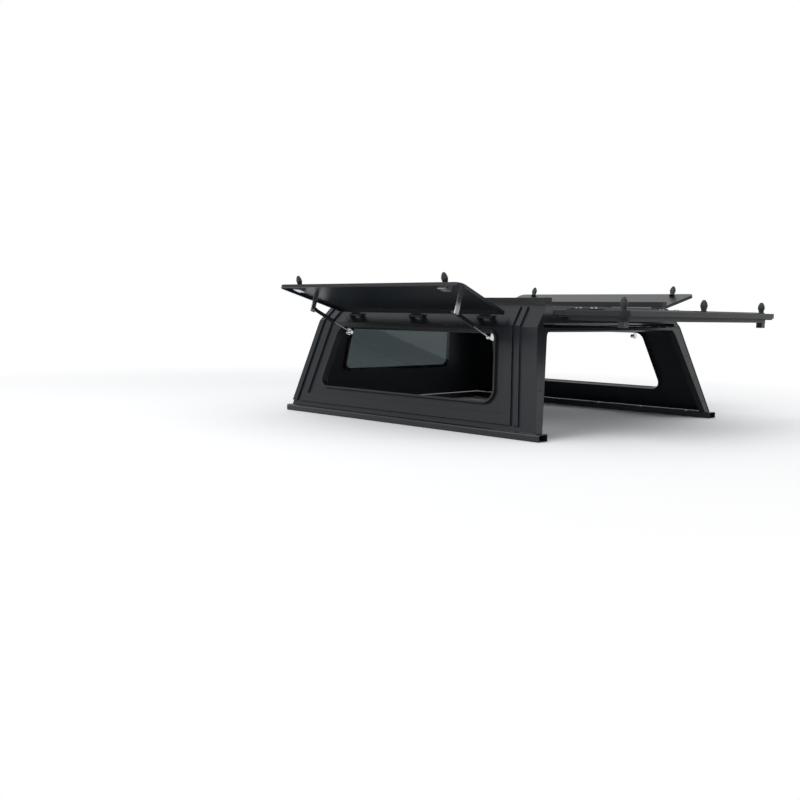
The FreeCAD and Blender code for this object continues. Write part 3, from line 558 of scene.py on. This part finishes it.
def set_bolts(name, spots, size, finish, body):
    """Bolt heads at (point, outward direction) pairs, as one plain mesh that moves with a body."""
    radius, height = size
    mesh = bpy.data.meshes.new(name + "_points")
    mesh.from_pydata([spot for spot, _ in spots], [], [])
    outward = mesh.attributes.new("outward", "FLOAT_VECTOR", "POINT")
    for k, (_, way) in enumerate(spots):
        outward.data[k].vector = way
    holder = bpy.data.objects.new(name + "_points", mesh)
    bpy.context.collection.objects.link(holder)
    modifier = holder.modifiers.new("bolts", "NODES")
    modifier.node_group = bolts
    modifier[inputs["Head Radius"]] = radius
    modifier[inputs["Head Height"]] = height
    modifier[inputs["Finish"]] = finish
    seen = holder.evaluated_get(bpy.context.evaluated_depsgraph_get())
    plain = bpy.data.meshes.new_from_object(seen)
    bpy.data.objects.remove(holder)
    piece = bpy.data.objects.new(name, plain)
    bpy.context.collection.objects.link(piece)
    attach(piece, body)
    print(name, len(spots), "heads")


def both_ways(spots):
    """The same bolts mirrored to the other side."""
    return [(Vector((-p.x, p.y, p.z)), Vector((-w.x, w.y, w.z))) for p, w in spots]


# %% [markdown]
# ## Which bolts
# Two bolts hold each hinge of the side doors, a row holds the base rails, rivets hold the rear frame,
# and four bolts hold each strap of the rear door. Sizes are a head's radius and its height.

# %% Bolts of the hinges, rails and frames
HINGE_BOLT, BASE_BOLT, RIVET, STRAP_BOLT = (0.0045, 0.004), (0.006, 0.005), (0.0028, 0.002), (0.005, 0.004)
HINGE_PLACES, HINGE_BOLT_STEPS = (-0.3164, -0.7435, -1.1706), (-0.036, 0.036)
HINGE_ALONG, HINGE_CLEAR = 0.062, 0.0005
hinge_bolts = [(shoulder_point(y + step, HINGE_ALONG, HINGE_CLEAR), shoulder_out)
               for y in HINGE_PLACES for step in HINGE_BOLT_STEPS]
set_bolts("left_hinge_bolts", hinge_bolts, HINGE_BOLT, steel, "canopy")
set_bolts("right_hinge_bolts", both_ways(hinge_bolts), HINGE_BOLT, steel, "canopy")
BASE_BOLT_X, BASE_BOLT_START, BASE_BOLT_STEP, BASE_BOLTS = -0.716, -0.12, 0.27, 6
rail_bolts = [(Vector((BASE_BOLT_X, BASE_BOLT_START - BASE_BOLT_STEP * k, RAIL_TOP)), up)
              for k in range(BASE_BOLTS)]
set_bolts("left_base_bolts", rail_bolts, BASE_BOLT, zinc, "canopy")
set_bolts("right_base_bolts", both_ways(rail_bolts), BASE_BOLT, zinc, "canopy")
PILLAR_FOOT, PILLAR_SLOPE, RIVET_HEIGHTS = 0.726, 0.343, (0.06, 0.18, 0.30)
wall_rivets = [(rear_point(side * (PILLAR_FOOT - PILLAR_SLOPE * height), height, -SHEET), rear_out)
               for side in (-1, 1) for height in RIVET_HEIGHTS]
set_bolts("pillar_rivets", wall_rivets, RIVET, steel, "canopy")
STRAP_BOLT_STEPS, STRAP_BOLT_ROWS = (-0.016, 0.016), (-1.585, -1.505)
strap_bolts = [(Vector((x + step, y, STRAP_TOP)), up) for x in (-STRAP_X, STRAP_X)
               for step in STRAP_BOLT_STEPS for y in STRAP_BOLT_ROWS]
set_bolts("rear_strap_bolts", strap_bolts, STRAP_BOLT, zinc, "rear_door")

# %% [markdown]
# ## Floor and lights
# A pale floor, a white backdrop and two soft lamps keep the black steel readable. The floor sits just
# under the base rails, so it takes their shadow and doesn't cut into them.

# %% The floor
FLOOR_HALF, FLOOR_GAP = 20.0, 0.001
floor_mesh = bpy.data.meshes.new("floor")
corners = [(x * FLOOR_HALF, y * FLOOR_HALF, 0) for x, y in ((-1, -1), (1, -1), (1, 1), (-1, 1))]
floor_mesh.from_pydata(corners, [], [(0, 1, 2, 3)])
floor = bpy.data.objects.new("floor", floor_mesh)
floor.location.z = cad_box[0][2] - FLOOR_GAP
bpy.context.collection.objects.link(floor)
pale = new_material("pale_floor", Base_Color=(0.92, 0.92, 0.92, 1), Roughness=0.9)
floor_mesh.materials.append(pale)
print("floor", 2 * FLOOR_HALF, "m wide")

# %% [markdown]
# ## The floor's fade
# The floor keeps the shadow near the canopy and fades into the white backdrop farther out, by the
# distance from its middle. Two helpers add a node of arithmetic and a mix of two shaders, because the
# world needs the same nodes.

# %% Helpers for arithmetic and mixing


def combine(tree, operation, first, second):
    """The output of a node that combines two values."""
    node = tree.nodes.new("ShaderNodeMath")
    node.operation = operation
    tree.links.new(first, node.inputs[0])
    tree.links.new(second, node.inputs[1])
    return node.outputs[0]


def mix_shaders(tree, share, first, second, output):
    """Show two shaders, mixed by a share, at a tree's output."""
    node = tree.nodes.new("ShaderNodeMixShader")
    tree.links.new(share, node.inputs["Fac"])
    tree.links.new(first, node.inputs[1])
    tree.links.new(second, node.inputs[2])
    tree.links.new(node.outputs[0], tree.nodes[output].inputs["Surface"])


# %% The floor's fade
NEAR_FADE, FAR_FADE = 1.6, 3.6
tree = pale.node_tree
place = tree.nodes.new("ShaderNodeTexCoord")
distance = tree.nodes.new("ShaderNodeVectorMath")
distance.operation = "LENGTH"
tree.links.new(place.outputs["Object"], distance.inputs[0])
fade = tree.nodes.new("ShaderNodeMapRange")
fade.inputs["From Min"].default_value = NEAR_FADE
fade.inputs["From Max"].default_value = FAR_FADE
tree.links.new(distance.outputs["Value"], fade.inputs["Value"])
path = tree.nodes.new("ShaderNodeLightPath")
shown = combine(tree, "MULTIPLY", fade.outputs["Result"], path.outputs["Is Camera Ray"])
glow = tree.nodes.new("ShaderNodeEmission")
mix_shaders(tree, shown, tree.nodes["Principled BSDF"].outputs[0], glow.outputs[0], "Material Output")
print("the floor fades from", NEAR_FADE, "to", FAR_FADE, "m")

# %% [markdown]
# ## Lamps
# A large key lamp at the left draws the sheen on the side, and a weaker one behind and to the right
# opens the shadows. Their power is low, because the surroundings already light the steel evenly.

# %% The lights


def area_light(name, place, aim, width, power):
    """A soft square lamp at a place, turned towards a point."""
    lamp = bpy.data.lights.new(name, "AREA")
    lamp.size = width
    lamp.energy = power
    holder = bpy.data.objects.new(name, lamp)
    holder.location = place
    holder.rotation_euler = (Vector(aim) - Vector(place)).to_track_quat("-Z", "Y").to_euler()
    bpy.context.collection.objects.link(holder)


BODY_MIDDLE = (0, -0.8, 0.3)
LAMP_WIDTH = 4.0
area_light("key", (-4.2, 0.2, 4.4), BODY_MIDDLE, LAMP_WIDTH, 150)
area_light("fill", (3.0, -4.5, 3.0), BODY_MIDDLE, LAMP_WIDTH, 40)
print(len(bpy.data.lights), "lamps")

# %% [markdown]
# ## The world
# What the camera sees, what glass lets through and what metal reflects is plain white. All other light
# from the surroundings is a little weaker and a little blue.

# %% The world
world = bpy.data.worlds.new("studio")
bpy.context.scene.world = world
world.use_nodes = True
tree = world.node_tree
plain = tree.nodes["Background"]
plain.inputs["Color"].default_value = (0.95, 0.97, 1.0, 1)
plain.inputs["Strength"].default_value = 0.75
white = tree.nodes.new("ShaderNodeBackground")
white.inputs["Color"].default_value = (1, 1, 1, 1)
path = tree.nodes.new("ShaderNodeLightPath")
either = combine(tree, "MAXIMUM", path.outputs["Is Camera Ray"], path.outputs["Is Transmission Ray"])
any_of = combine(tree, "MAXIMUM", either, path.outputs["Is Glossy Ray"])
mix_shaders(tree, any_of, plain.outputs[0], white.outputs[0], "World Output")
bpy.context.scene.view_settings.view_transform = "Standard"
print("a white backdrop")

# %% [markdown]
# ## The camera
# The photo was taken from behind and to the left, at about the height of the side doors. The same
# place, direction and lens make the canopy fill the same part of the picture.

# %% The camera
CAMERA_PLACE = Vector((-3.883, -3.904, 0.518))
CAMERA_AZIMUTH = math.radians(45.228)
CAMERA_PITCH = math.radians(-5.256)
CAMERA_ROLL = math.radians(0.927)
camera_data = bpy.data.cameras.new("camera")
camera_data.sensor_width = 36.0
camera_data.lens = 42.63
camera = bpy.data.objects.new("camera", camera_data)
forward = Vector((math.sin(CAMERA_AZIMUTH) * math.cos(CAMERA_PITCH),
                  math.cos(CAMERA_AZIMUTH) * math.cos(CAMERA_PITCH), math.sin(CAMERA_PITCH)))
level_right = forward.cross(Vector((0, 0, 1))).normalized()
level_up = level_right.cross(forward)
right = level_right * math.cos(CAMERA_ROLL) + level_up * math.sin(CAMERA_ROLL)
camera_up = level_up * math.cos(CAMERA_ROLL) - level_right * math.sin(CAMERA_ROLL)
axes = Matrix((right, camera_up, -forward)).transposed().to_4x4()
camera.matrix_world = Matrix.Translation(CAMERA_PLACE) @ axes
bpy.context.collection.objects.link(camera)
bpy.context.scene.camera = camera
print("camera with a lens of", camera_data.lens, "mm")
